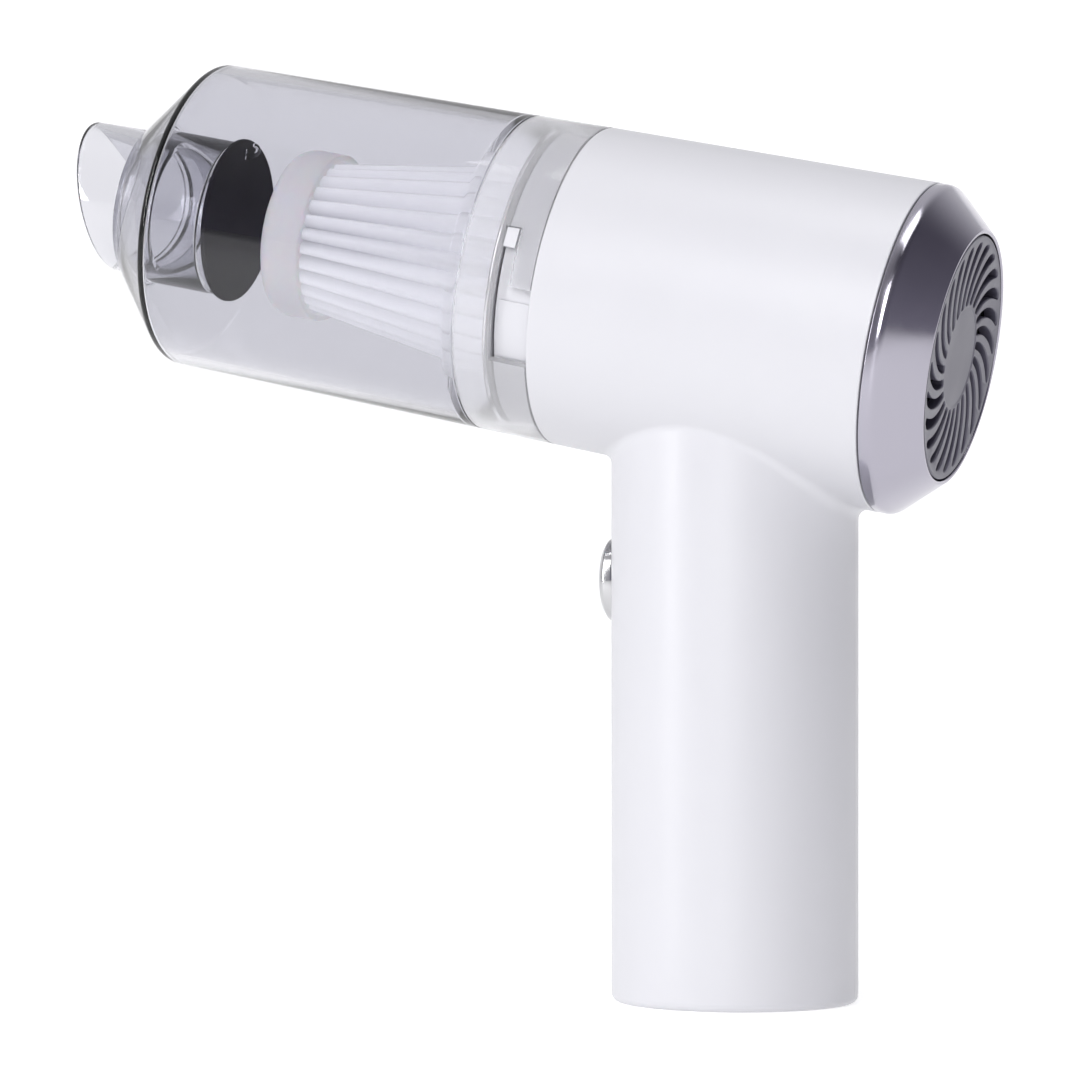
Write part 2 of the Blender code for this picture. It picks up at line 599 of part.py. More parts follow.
def make_button():
    place = front_facing(BUTTON_Z, BUTTON_FLATTEN)
    turned("button_bezel", [(6.4, 28.6), (7.2, 29.1), (8.1, 28.7), (8.8, 27.9), (BEZEL_R, 26.8),
                            (BEZEL_R, 22.6), (10.8, 22.6), (10.8, 21.4), (6.4, 21.4)], BRIGHT,
           segments=FINE_SEGMENTS, **place)
    turned("power_button", [(0, 27.9), (3.2, 28.1), (5.0, 28.4), (5.8, 28.2), (6.05, 27.7), (6.05, 21.0),
                            (7.3, 21.0), (7.3, 19.8), (1.2, 19.8), (1.2, 16.2), (0, 16.2)], BRIGHT,
           segments=FINE_SEGMENTS, **place)
    switch = box("power_switch", (-4, -4, 10.9), (4, 4, 15.0), GREY, **front_facing(BUTTON_Z))
    bore = turned("switch_bore", [(0, 16), (1.6, 16), (1.6, 11.2), (0, 11.2)], segments=SMALL_SEGMENTS,
                  **front_facing(BUTTON_Z))
    boolean(switch, "DIFFERENCE", bore)
    turned("switch_plunger", [(0, 15.9), (1.2, 15.9), (1.2, 12.9), (0, 12.9)], WHITE, segments=SMALL_SEGMENTS,
           **front_facing(BUTTON_Z))
    turns, per_turn = 3, 10
    coil = [(2.7 * cos(2 * pi * i / per_turn), 2.7 * sin(2 * pi * i / per_turn),
             15.7 + 3.4 * i / (turns * per_turn)) for i in range(turns * per_turn + 1)]
    wire("button_spring", coil, 0.3, STEEL, sides=1, **front_facing(BUTTON_Z))


# ---------------------------------------------------------------- grip contents

def make_cells():
    for name, y in (("battery_cell_left", -CELL_Y), ("battery_cell_right", CELL_Y)):
        turned(name, [(0, CELL_TOP + 0.7), (2.8, CELL_TOP + 0.7), (2.8, CELL_TOP), (CELL_R - 0.5, CELL_TOP),
                      (CELL_R, CELL_TOP - 0.5), (CELL_R, CELL_BOTTOM + 0.5), (CELL_R - 0.5, CELL_BOTTOM),
                      (0, CELL_BOTTOM)], CELL_BLUE, segments=SMALL_SEGMENTS, at=(0, y, 0))
    holder_scale = (1, 21.0 / 14.0, 1)
    tray = turned("battery_tray", [(0, 11.0), (14.0, 11.0), (14.0, 4.5), (0, 4.5)], GREY,
                  segments=SMALL_SEGMENTS, scale=holder_scale)
    clip = turned("battery_clip", [(0, 73.0), (14.0, 73.0), (14.0, 69.0), (0, 69.0)], GREY,
                  segments=SMALL_SEGMENTS, scale=holder_scale)
    for y in (-CELL_Y, CELL_Y):
        pocket = turned("tray_pocket", [(0, 13), (9.45, 13), (9.45, 8.2), (0, 8.2)], at=(0, y, 0),
                        segments=SMALL_SEGMENTS)
        through = turned("clip_hole", [(0, 80), (9.45, 80), (9.45, 60), (0, 60)], at=(0, y, 0),
                         segments=SMALL_SEGMENTS)
        boolean(tray, "DIFFERENCE", pocket)
        boolean(clip, "DIFFERENCE", through)
    boolean(tray, "DIFFERENCE", box("link_slot", (-3.4, -13.5, 7.4), (3.4, 13.5, 9.0)))
    box("cell_link", (-3, -13, 7.75), (3, 13, 8.1), STEEL)


def make_board():
    low, high = BOARD_X
    box("control_board", (low, -14, 77.5), (high, 14, 106.5), BOARD_GREEN)
    turned("capacitor", [(0, 7.0), (3.0, 7.0), (3.0, 0), (0, 0)], BLACK, segments=SMALL_SEGMENTS,
           at=(high + GAP, 7, 97), turn=(0, pi / 2, 0))
    box("charge_chip", (high + GAP, -2.5, 85.5), (high + 1.6, 2.5, 90.5), BLACK)
    port = plate("charge_port", [pill(9.1, 3.5)], 17.5, 26.2, STEEL, **front_facing(PORT_Z))
    boolean(port, "DIFFERENCE", plate("port_bore", [pill(8.3, 2.7)], 19, 30, **front_facing(PORT_Z)))
    turned("indicator_lens", [(0, 26.9), (0.8, 26.9), (1.25, 26.6), (1.25, 22.0), (0, 22.0)], CLEAR,
           segments=SMALL_SEGMENTS, **front_facing(LENS_Z))


def make_screws():
    for name, (x, z) in SCREW_SPOTS.items():
        turned(name, [(0, 9.2), (1.7, 9.2), (2.3, 8.6), (2.3, 7.4), (1.25, 7.4), (1.25, -7.5), (0, -7.5)],
               STEEL, segments=PIN_SEGMENTS, at=(x, 0, z), turn=(-pi / 2, 0, 0))


def make_leads():
    board_face = BOARD_X[1] + 0.35
    for name, side, look in (("motor_lead_red", 1, RED), ("motor_lead_black", -1, BLACK)):
        barrel_part = [(-9.3, 5, -74.5), (-11.5, 5.2, -76.0), (-18, 6, -75.6), (-24.5, 6, -71.5),
                       (-27.6, 6, -65.0), (-28.4, 6, -56.0), (-28.6, 6, -46.0)]
        route = [barrel_to_world(h, side * y, z) for h, y, z in barrel_part]
        route += [(-1.0, side * 6.5, 112.0), (-4.6, side * 6.5, 105.5), (board_face, side * 6.5, 103.5)]
        wire(name, smooth_path(route, 2), 0.7, look, sides=1)
    for name, side, look in (("battery_lead_red", 1, RED), ("battery_lead_black", -1, BLACK)):
        route = [(0, side * CELL_Y, CELL_TOP + 1.2), (-0.6, side * CELL_Y, 77.5), (-4.0, side * 10.2, 80.6),
                 (board_face, side * 10.5, 81.5)]
        wire(name, smooth_path(route, 3), 0.7, look, sides=1)


# ---------------------------------------------------------------- assembly

def make_frame(name, parent, at=(0, 0, 0), turn=(0, 0, 0)):
    empty = bpy.data.objects.new(name, None)
    PARTS.objects.link(empty)
    empty.parent = parent
    empty.location = Vector(at) * MM
    empty.rotation_euler = turn
    return empty


clear_scene()
PARTS = make_collection("hand_vacuum")
CUTTERS = make_collection("cutters")

barrel_axis = make_frame("barrel_axis", None, (JOINT_X, 0, JOINT_Z), (0, radians(BARREL_TILT - 90), 0))
collar_twist = make_frame("collar_twist", barrel_axis)
cup_slide = make_frame("cup_slide", collar_twist)
fan_spin = make_frame("fan_spin", barrel_axis)

make_housing(barrel_axis)
make_base_cap()
make_neck(barrel_axis)
make_collar(collar_twist)
make_cup_seal(barrel_axis)
make_dust_cup(cup_slide)
make_nozzle(cup_slide)
make_flap(cup_slide)
make_filter(barrel_axis)
make_rear_ring(barrel_axis)
make_grille(barrel_axis)
make_fan(barrel_axis, fan_spin)
make_motor(barrel_axis, fan_spin)
make_button()
make_cells()
make_board()
make_screws()
make_leads()
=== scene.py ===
"""Looks for the cordless hand vacuum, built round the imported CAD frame.

Lengths in this script are millimetres until MM turns them into metres.  Barrel pieces are made in
the barrel's own axes, as (up, across, forward), and BARREL places them in the row frame.
"""
import json
from math import acos, atan2, ceil, cos, pi, radians, sin, sqrt, tan

import bmesh
import bpy
from mathutils import Matrix, Vector


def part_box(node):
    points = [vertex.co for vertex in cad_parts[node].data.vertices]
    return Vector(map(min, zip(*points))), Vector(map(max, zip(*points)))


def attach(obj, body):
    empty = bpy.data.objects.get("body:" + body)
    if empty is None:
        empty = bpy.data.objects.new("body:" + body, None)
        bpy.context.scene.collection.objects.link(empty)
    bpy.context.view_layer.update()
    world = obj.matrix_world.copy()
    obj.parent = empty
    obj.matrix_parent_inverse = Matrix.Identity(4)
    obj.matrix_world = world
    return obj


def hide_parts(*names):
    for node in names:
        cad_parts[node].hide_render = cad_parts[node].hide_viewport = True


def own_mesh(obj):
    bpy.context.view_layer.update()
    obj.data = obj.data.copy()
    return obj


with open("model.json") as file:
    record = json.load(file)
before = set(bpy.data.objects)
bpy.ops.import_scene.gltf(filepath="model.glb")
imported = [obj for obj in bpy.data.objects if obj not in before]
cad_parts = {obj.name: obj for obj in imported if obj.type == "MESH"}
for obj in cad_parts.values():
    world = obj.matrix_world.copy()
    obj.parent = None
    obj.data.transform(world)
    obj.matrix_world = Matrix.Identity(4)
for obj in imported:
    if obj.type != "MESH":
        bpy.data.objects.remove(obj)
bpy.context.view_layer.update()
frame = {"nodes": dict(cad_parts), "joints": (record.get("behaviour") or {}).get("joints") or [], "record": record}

MM = 0.001
ROUND_STEPS = 160             # round the large turned pieces
SMALL_STEPS = 64
CORNER_STEPS = 5              # along a rounded edge
NOWHERE = Matrix.Identity(4)  # the place of a piece that is made in the row frame itself

# Barrel axes, from the collar's joint
twist = next(joint for joint in frame["joints"] if joint["name"] == "collar_twist")
JOINT = Vector(twist["pos_m"]) / MM
FORWARD = Vector(twist["axis"]).normalized()
UP = Vector((FORWARD.z, 0, -FORWARD.x))
ACROSS = Vector((0, 1, 0))
BARREL = Matrix.Translation(JOINT) @ Matrix((UP, ACROSS, FORWARD)).transposed().to_4x4()

# Housing
BARREL_R = 35.0
BARREL_TAPER = 0.55 / 73.85   # the barrel widens this much per millimetre towards the rear
BARREL_FRONT = -0.45
BARREL_REAR = -74.0
RIM_ROUND = 0.3
GRIP_A = 26.7
GRIP_B = 25.0
BASE_ROUND = 1.9
BASE_HOLE = 21.6
FILLET = 2.7                  # between the grip and the barrel
WALL = 1.2
SEAM = 0.03                   # each half stands this far from the middle plane
WALL_TURN_IN = 1.6            # how far the rims turn in towards the axis
RIM_COLUMNS = 64              # the mesh's columns that end on each rim
TOP_COLUMNS = 24              # and on the barrel's top line
GRIP_ROWS = 14
FILLET_ROWS = 8
SPREAD_ROWS = 40              # from the fillet out to the rims

# Power button, charging socket and light, on the grip's front
BUTTON_Z = 90.7
BUTTON_FLATTEN = 0.76         # the button is an upright oval
BUTTON_STEPS = 96
PORT_Z = 14.0
LENS_Z = 70.0

# Screws, in wells in the right half
SCREWS = [name for name in frame["nodes"] if name.startswith("housing_screw")]
SCREW_STEPS = 48
WELL_R = 2.7
WELL_FLOOR = 7.0
WELL_SEAT = 2.5               # thickness of the floor that a head sits on
SHANK_HOLE = 1.3
OUTSIDE = 45.0                # beyond the shell

# Clear front
LIP_MEAN = 116.85             # where the nozzle's slanted lip crosses the barrel axis
LIP_SLOPE = 0.332
NOZZLE_SHOULDER = 107.1
FLAP_R = 18.3
FLAP_HALF = 0.5               # half its thickness
FLAP_TILT = -3                # degrees, at rest
HINGE_UP = 15                 # the hinge stands this far above the barrel axis

# Filter, with crest radius, valley radius and place along the barrel for both ends of the pleats
PLEATS = 28
PLEAT_FRONT = (16.7, 12.9, 62.0)
PLEAT_REAR = (24.6, 20.2, 11.3)
PLEAT_STEPS = 14
PLEAT_ROWS = 24
CREST_SHAPE = 1.1
FABRIC = 1.3                  # from the valleys to the open core
FOLD_SHADE_FADE = 0.75              # how much the painted shade in the folds fades towards the rear

# Grille
SLOTS = 24
SLOT_INNER = 11.3
SLOT_OUTER = 24.7
SLOT_SWEEP = 24.0
SLOT_STEPS = 22
HUB_R = 11.2
FACE_R = 25.4
FACE_Z = -85.3
FACE_DISH = 0.6               # the hub's edge lies this much deeper than the rim
# Layers of a slot's cutter: growth of its outline, and depth from the outer face
MOUTH_STEPS = ((0.32, -1.2), (0.32, -0.05), (0.13, 0.08), (0.03, 0.22), (0.0, 0.42), (0.0, 5.0))

# Camera, at the photograph's viewing angle
CAMERA_PLACE = (0.286196, -0.926826, 0.099304)
CAMERA_TURN = 19.638
LENS_MM = 150
SENSOR_MM = 36

# Stage, in metres
FLOOR_FRONT = -2.6
FLOOR_BACK = 1.2
FLOOR_SIDE = 3.2
BACKDROP_BEND = 0.4
BACKDROP_TOP = 0.75
AIM = (0, 0, 0.11)            # where the lights point
BRIGHT_SIDE = (-0.8, 0.55, 0.25)
NOISE_SPAN = (0.2, 0.8)       # where nearly all of a noise's values lie


# ---------------------------------------------------------------- meshes

def add_piece(name, mesh):
    """An object in the scene that holds the mesh."""
    piece = bpy.data.objects.new(name, mesh)
    bpy.context.scene.collection.objects.link(piece)
    return piece


def mesh_from(name, verts, faces, place):
    """A mesh from millimetre points, put in place and given outward faces."""
    mesh = bpy.data.meshes.new(name)
    mesh.from_pydata([(place @ Vector(v)) * MM for v in verts], [], faces)
    shape = bmesh.new()
    shape.from_mesh(mesh)
    bmesh.ops.remove_doubles(shape, verts=shape.verts, dist=1e-7)
    bmesh.ops.recalc_face_normals(shape, faces=shape.faces)
    shape.to_mesh(mesh)
    shape.free()
    return mesh


def rounded(corners):
    """Profile points from (radius, height) corners; a third number rounds the corner."""
    points = []
    count = len(corners)
    for i, corner in enumerate(corners):
        here = Vector(corner[:2])
        radius = corner[2] if len(corner) > 2 else 0.0
        if radius == 0.0:
            points.append(tuple(here))
            continue
        before = (Vector(corners[i - 1][:2]) - here).normalized()
        after = (Vector(corners[(i + 1) % count][:2]) - here).normalized()
        half = acos(max(-1.0, min(1.0, before.dot(after)))) / 2
        middle = here + (before + after).normalized() * radius / sin(half)
        start = here + before * radius / tan(half) - middle
        end = here + after * radius / tan(half) - middle
        sweep = atan2(start.x * end.y - start.y * end.x, start.dot(end))
        for step in range(CORNER_STEPS + 1):
            turn = sweep * step / CORNER_STEPS
            points.append((middle.x + start.x * cos(turn) - start.y * sin(turn),
                           middle.y + start.x * sin(turn) + start.y * cos(turn)))
    return points


def turned(name, corners, place=BARREL, steps=ROUND_STEPS, shape=None):
    """Turn a closed profile about local Z; shape may move each (x, y, z) point."""
    profile = rounded(corners)
    verts, faces = [], []
    for step in range(steps):
        angle = 2 * pi * step / steps
        for radius, height in profile:
            point = (radius * cos(angle), radius * sin(angle), height)
            verts.append(shape(*point) if shape else point)
    count = len(profile)
    for step in range(steps):
        here, there = step * count, (step + 1) % steps * count
        for i in range(count):
            j = (i + 1) % count
            if profile[i][0] or profile[j][0]:
                faces.append((here + i, here + j, there + j, there + i))
    return add_piece(name, mesh_from(name, verts, faces, place))


def lofted(name, layers, place=BARREL):
    """A solid through outlines of equal point count, each a list of (x, y, z)."""
    count = len(layers[0])
    verts = [point for layer in layers for point in layer]
    faces = [tuple(range(count)), tuple(range(len(verts) - count, len(verts)))]
    for layer in range(len(layers) - 1):
        for i in range(count):
            j = (i + 1) % count
            base = layer * count
            faces.append((base + i, base + j, base + count + j, base + count + i))
    return add_piece(name, mesh_from(name, verts, faces, place))


def prism(name, outline, low, high, place=BARREL):
    """Extrude an outline."""
    return lofted(name, [[(x, y, z) for x, y in outline] for z in (low, high)], place)


def joined(name, parts):
    """One object from several that don't touch."""
    shape = bmesh.new()
    for part in parts:
        shape.from_mesh(part.data)
        bpy.data.objects.remove(part)
    mesh = bpy.data.meshes.new(name)
    shape.to_mesh(mesh)
    shape.free()
    return add_piece(name, mesh)


def apply_modifiers(piece):
    """Make the modifiers' result the piece's own mesh."""
    depsgraph = bpy.context.evaluated_depsgraph_get()
    mesh = bpy.data.meshes.new_from_object(piece.evaluated_get(depsgraph))
    piece.modifiers.clear()
    piece.data = mesh


def cut(piece, *cutters, operation="DIFFERENCE"):
    """A boolean with other pieces, which are used up: a cut, unless the operation says otherwise."""
    for cutter in cutters:
        modifier = piece.modifiers.new(cutter.name, "BOOLEAN")
        modifier.operation = operation
        modifier.solver = "EXACT"
        modifier.object = cutter
    apply_modifiers(piece)
    for cutter in cutters:
        bpy.data.objects.remove(cutter)


def arc(radius, start, end, steps, middle=(0, 0)):
    """Points on an arc, with angles in degrees."""
    angles = [radians(start + (end - start) * i / steps) for i in range(steps + 1)]
    return [(middle[0] + radius * cos(a), middle[1] + radius * sin(a)) for a in angles]


def sector(inner, outer, start, end):
    """A ring sector; angles in degrees above the barrel's left side."""
    steps = max(2, ceil(abs(end - start)))
    return arc(outer, start - 90, end - 90, steps) + arc(inner, end - 90, start - 90, steps)


def both_sides(name, inner, outer, start, end, low, high):
    """A sector prism and its twin, half a turn round."""
    twins = [prism(name, sector(inner, outer, start + half_turn, end + half_turn), low, high)
             for half_turn in (0, 180)]
    return joined(name, twins)


def front_place(height, flatten=1.0):
    """Local Z points out of the grip's front, local X points up."""
    turn = Matrix.Rotation(-pi / 2, 4, "Y")
    return Matrix.Translation((0, 0, height)) @ turn @ Matrix.Diagonal((1, flatten, 1, 1))


def side_place(x, y, z):
    """Local Z points out of the right side, from a point in the row frame."""
    return Matrix.Translation((x, y, z)) @ Matrix.Rotation(-pi / 2, 4, "X")


def pill(width, height, steps=12):
    """A slot outline with round ends, wide across the object."""
    radius = height / 2
    reach = width / 2 - radius
    return arc(radius, 0, 180, steps, (0, reach)) + arc(radius, 180, 360, steps, (0, -reach))


def tube(name, points, radius, place=BARREL):
    """A round wire through smooth control points."""
    curve = bpy.data.curves.new(name, "CURVE")
    curve.dimensions = "3D"
    curve.bevel_depth = radius * MM
    curve.bevel_resolution = 5
    curve.use_fill_caps = True
    curve.resolution_u = 8
    spline = curve.splines.new("NURBS")
    spline.points.add(len(points) - 1)
    spline.use_endpoint_u = True
    for point, spot in zip(spline.points, points):
        point.co = (*((place @ Vector(spot)) * MM), 1)
    holder = add_piece(name + "_curve", curve)
    depsgraph = bpy.context.evaluated_depsgraph_get()
    mesh = bpy.data.meshes.new_from_object(holder.evaluated_get(depsgraph))
    bpy.data.objects.remove(holder)
    return add_piece(name, mesh)


def settle(piece, body, slot, material, *nodes, sharp=32):
    """Shade a finished piece, give it its material, hang it on its body and hide the CAD nodes it stands for."""
    mesh = piece.data
    mesh.polygons.foreach_set("use_smooth", [True] * len(mesh.polygons))
    mesh.set_sharp_from_angle(angle=radians(sharp))
    mesh.materials.clear()
    mesh.materials.append(material)
    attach(piece, body)
    if nodes:
        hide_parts(*nodes)


# ---------------------------------------------------------------- materials

def shader(name, color, roughness, **values):
    """A Principled material with its constant values set on the shader itself."""
    material = bpy.data.materials.new(name)
    material.use_nodes = True
    principled = material.node_tree.nodes["Principled BSDF"]
    principled.inputs["Base Color"].default_value = (*color, 1)
    principled.inputs["Roughness"].default_value = roughness
    for key, value in values.items():
        principled.inputs[key.replace("_", " ")].default_value = value
    return material


def noise(material, scale, detail=3.0, stretch=(1, 1, 1)):
    """Object-space noise, with scale in repeats per metre."""
    tree = material.node_tree
    coords = tree.nodes.new("ShaderNodeTexCoord")
    mapping = tree.nodes.new("ShaderNodeMapping")
    mapping.inputs["Scale"].default_value = stretch
    texture = tree.nodes.new("ShaderNodeTexNoise")
    texture.inputs["Scale"].default_value = scale
    texture.inputs["Detail"].default_value = detail
    tree.links.new(coords.outputs["Object"], mapping.inputs["Vector"])
    tree.links.new(mapping.outputs["Vector"], texture.inputs["Vector"])
    return texture.outputs["Fac"]


def ramp_between(tree, value, start, end, low, high, smooth=False):
    """A socket that goes from low to high as a value goes from start to end."""
    ramp = tree.nodes.new("ShaderNodeMapRange")
    ramp.interpolation_type = "SMOOTHSTEP" if smooth else "LINEAR"
    for name, number in (("From Min", start), ("From Max", end), ("To Min", low), ("To Max", high)):
        ramp.inputs[name].default_value = number
    tree.links.new(value, ramp.inputs["Value"])
    return ramp.outputs["Result"]


def vary(material, socket, source, low, high):
    """Drive a shader socket from low to high by a noise."""
    tree = material.node_tree
    driven = ramp_between(tree, source, *NOISE_SPAN, low, high)
    tree.links.new(driven, tree.nodes["Principled BSDF"].inputs[socket])


def tint(material, source, first, second):
    """Blend the base colour between two tones by a noise."""
    tree = material.node_tree
    principled = tree.nodes["Principled BSDF"]
    ramp = tree.nodes.new("ShaderNodeValToRGB")
    for element, position, color in zip(ramp.color_ramp.elements, NOISE_SPAN, (first, second)):
        element.position = position
        element.color = (*color, 1)
    tree.links.new(source, ramp.inputs["Fac"])
    tree.links.new(ramp.outputs["Color"], principled.inputs["Base Color"])


def bump(material, source, strength, depth):
    """Relief from a noise, with its depth in millimetres."""
    tree = material.node_tree
    principled = tree.nodes["Principled BSDF"]
    node = tree.nodes.new("ShaderNodeBump")
    node.inputs["Strength"].default_value = strength
    node.inputs["Distance"].default_value = depth * MM
    tree.links.new(source, node.inputs["Height"])
    tree.links.new(node.outputs["Normal"], principled.inputs["Normal"])


def moulded(name, first, second, roughness, depth=0.012, **values):
    """Moulded plastic or rubber: a faint tone drift, uneven gloss and a fine grain."""
    material = shader(name, first, roughness, **values)
    tint(material, noise(material, 35.0), first, second)
    vary(material, "Roughness", noise(material, 90.0), roughness * 0.85, roughness * 1.15)
    bump(material, noise(material, 2600.0, 2.0), 0.35, depth)
    return material


def clear(name, color, roughness, see_through=1.0):
    """Clear plastic, with the faint waviness of a moulding."""
    material = shader(name, color, roughness, Transmission_Weight=see_through, IOR=1.43)
    vary(material, "Roughness", noise(material, 60.0), roughness, roughness * 2.5)
    bump(material, noise(material, 45.0, 1.0), 0.12, 0.05)
    return material


def plated(name, color, roughness):
    """Polished plating with faint haze."""
    material = shader(name, color, roughness, Metallic=1.0)
    vary(material, "Roughness", noise(material, 140.0), roughness * 0.7, roughness * 1.4)
    bump(material, noise(material, 60.0, 1.0), 0.05, 0.02)
    return material


def brushed(name, color, roughness):
    """Plated steel with fine lines along the barrel."""
    material = shader(name, color, roughness, Metallic=1.0)
    lines = noise(material, 900.0, 2.0, (0.05, 1, 1))
    vary(material, "Roughness", lines, roughness * 0.7, roughness * 1.3)
    bump(material, lines, 0.2, 0.01)
    return material


def woven(name, first, second, scale, **values):
    """Filter fabric or foam: soft fibres."""
    material = shader(name, first, 0.9, Sheen_Weight=0.2, **values)
    tint(material, noise(material, scale / 4), first, second)
    bump(material, noise(material, scale, 5.0), 0.6, 0.05)
    return material


def mix_colors(tree, factor, first, second):
    """Blend two colours, each a constant or a socket, and give the blend's socket."""
    mix = tree.nodes.new("ShaderNodeMix")
    mix.data_type = "RGBA"
    tree.links.new(factor, mix.inputs["Factor"])
    color_inputs = [socket for socket in mix.inputs if socket.type == "RGBA"]
    for socket, color in zip(color_inputs, (first, second)):
        if isinstance(color, tuple):
            socket.default_value = (*color, 1)
        else:
            tree.links.new(color, socket)
    return next(socket for socket in mix.outputs if socket.type == "RGBA")


def paint_fold_shade(material, tone):
    """Paint shade deep in a pleated fabric's folds, into its base and emission colours, by the mesh's fold
    attribute.
    """
    tree = material.node_tree
    principled = tree.nodes["Principled BSDF"]
    plain = principled.inputs["Base Color"].links[0].from_socket
    fold = tree.nodes.new("ShaderNodeAttribute")
    fold.attribute_name = "fold"
    blend = mix_colors(tree, fold.outputs["Fac"], plain, tone)
    tree.links.new(blend, principled.inputs["Base Color"])
    tree.links.new(blend, principled.inputs["Emission Color"])


def wound(name, first, second):
    """Copper winding wire."""
    material = shader(name, first, 0.35, Metallic=0.8)
    turns = noise(material, 1500.0, 1.0, (1, 0.08, 0.08))
    tint(material, turns, first, second)
    bump(material, turns, 0.5, 0.08)
    return material


# The filter's fabric and cap glow faintly, standing in for the light that comes through them
MATERIALS = {
    "white_shell": moulded("white_shell", (0.56, 0.56, 0.588), (0.57, 0.57, 0.598), 0.34),
    "neck_white": moulded("neck_white", (0.57, 0.57, 0.60), (0.58, 0.58, 0.61), 0.35),
    "clear_plastic": clear("clear_plastic", (0.745, 0.745, 0.78), 0.012),
    "frosted_plastic": clear("frosted_plastic", (0.93, 0.93, 0.95), 0.08, 0.82),
    "milky_plastic": moulded("milky_plastic", (0.90, 0.90, 0.93), (0.92, 0.92, 0.94), 0.35,
                             Subsurface_Weight=0.4, Subsurface_Scale=0.004,
                             Emission_Color=(1, 1, 1, 1), Emission_Strength=0.10),
    "dark_chrome": plated("dark_chrome", (0.43, 0.415, 0.475), 0.15),
    "bright_chrome": plated("bright_chrome", (0.55, 0.55, 0.56), 0.10),
    "grille_grey": moulded("grille_grey", (0.095, 0.09, 0.125), (0.105, 0.10, 0.135), 0.34),
    "flap_rubber": moulded("flap_rubber", (0.008, 0.007, 0.014), (0.012, 0.010, 0.018), 0.6,
                           depth=0.0005, Specular_IOR_Level=0.02),
    "seal_rubber": moulded("seal_rubber", (0.24, 0.24, 0.26), (0.27, 0.27, 0.29), 0.6),
    "filter_paper": woven("filter_paper", (0.93, 0.93, 0.95), (0.96, 0.96, 0.97), 2400.0,
                          Emission_Strength=0.28),
    "foam": woven("foam", (0.012, 0.012, 0.014), (0.03, 0.03, 0.034), 900.0),
    "steel": brushed("steel", (0.55, 0.55, 0.57), 0.3),
    "magnet": moulded("magnet", (0.05, 0.05, 0.055), (0.08, 0.08, 0.085), 0.6),
    "copper": wound("copper", (0.72, 0.34, 0.16), (0.45, 0.18, 0.08)),
    "inner_black": moulded("inner_black", (0.018, 0.018, 0.02), (0.03, 0.03, 0.033), 0.5),
    "board_green": moulded("board_green", (0.01, 0.14, 0.06), (0.02, 0.20, 0.09), 0.35),
    "cell_wrap": moulded("cell_wrap", (0.04, 0.16, 0.38), (0.05, 0.20, 0.45), 0.3),
    "lead_red": moulded("lead_red", (0.5, 0.02, 0.02), (0.6, 0.03, 0.03), 0.4),
}
# Painted shade: the filter fabric greys deep in its folds, where shadow falls, most near the cap
paint_fold_shade(MATERIALS["filter_paper"], (0.60, 0.60, 0.63))


# ---------------------------------------------------------------- housing

def barrel_radius(z):
    """The barrel's radius at a place along its axis."""
    return BARREL_R + (BARREL_FRONT - z) * BARREL_TAPER


def on_barrel(turn, z, side, radius=None):
    """A point on the barrel; turn is measured from its underside, towards the given side."""
    radius = barrel_radius(z) if radius is None else radius
    return BARREL @ Vector((-radius * cos(turn), side * radius * sin(turn), z))


def fillet_centre(x, y):
    """Where a ball that touches grip and barrel has its centre, above or below (x, y)."""
    z = BARREL_FRONT
    for _ in range(4):
        h = -sqrt((barrel_radius(z) + FILLET) ** 2 - y * y)
        z = (x - JOINT.x - UP.x * h) / FORWARD.x
    return BARREL @ Vector((h, y, z)), z, atan2(abs(y), -h)


def rim_target(column):
    """Where a column ends on the barrel's edge, as (turn, z): front rim, top line, rear rim."""
    if column <= RIM_COLUMNS:
        return pi * column / RIM_COLUMNS, BARREL_FRONT
    if column <= RIM_COLUMNS + TOP_COLUMNS:
        share = (column - RIM_COLUMNS) / TOP_COLUMNS
        return pi, BARREL_FRONT + (BARREL_REAR - BARREL_FRONT) * share
    return pi * (2 * RIM_COLUMNS + TOP_COLUMNS - column) / RIM_COLUMNS, BARREL_REAR


def housing_column(column, side):
    """Points from the base, up the grip, round the fillet and out over the barrel to its rim."""
    angle = pi * column / (2 * RIM_COLUMNS + TOP_COLUMNS)
    x, y = -cos(angle), side * sin(angle)
    inset = BASE_HOLE - GRIP_A
    points = [Vector((x * (GRIP_A + d), y * (GRIP_B + d), z))
              for d, z in ((inset, 1.6), (inset, 0.25), (inset + 0.08, 0.08), (inset + 0.25, 0.0))]
    for step in range(CORNER_STEPS + 1):
        turn = pi / 2 * step / CORNER_STEPS
        d = BASE_ROUND * (sin(turn) - 1)
        points.append(Vector((x * (GRIP_A + d), y * (GRIP_B + d), BASE_ROUND * (1 - cos(turn)))))

    skin = Vector((x * GRIP_A, y * GRIP_B, 0))
    normal = Vector((x / GRIP_A, y / GRIP_B, 0)).normalized()
    ball = skin + normal * FILLET
    centre, z_barrel, turn_barrel = fillet_centre(ball.x, ball.y)
    for row in range(1, GRIP_ROWS + 1):
        share = row / GRIP_ROWS
        points.append(Vector((skin.x, skin.y, BASE_ROUND + (centre.z - BASE_ROUND) * share)))
    to_grip = -normal
    to_barrel = (on_barrel(turn_barrel, z_barrel, side if y else 0) - centre).normalized()
    spread = to_grip.angle(to_barrel)
    for row in range(1, FILLET_ROWS + 1):
        share = row / FILLET_ROWS
        direction = to_grip * sin(spread * (1 - share)) + to_barrel * sin(spread * share)
        points.append(centre + direction * FILLET / sin(spread))

    turn_end, z_end = rim_target(column)
    for row in range(1, SPREAD_ROWS + 1):
        share = row / SPREAD_ROWS
        points.append(on_barrel(turn_barrel + (turn_end - turn_barrel) * share,
                                z_barrel + (z_end - z_barrel) * share, side))
    return points


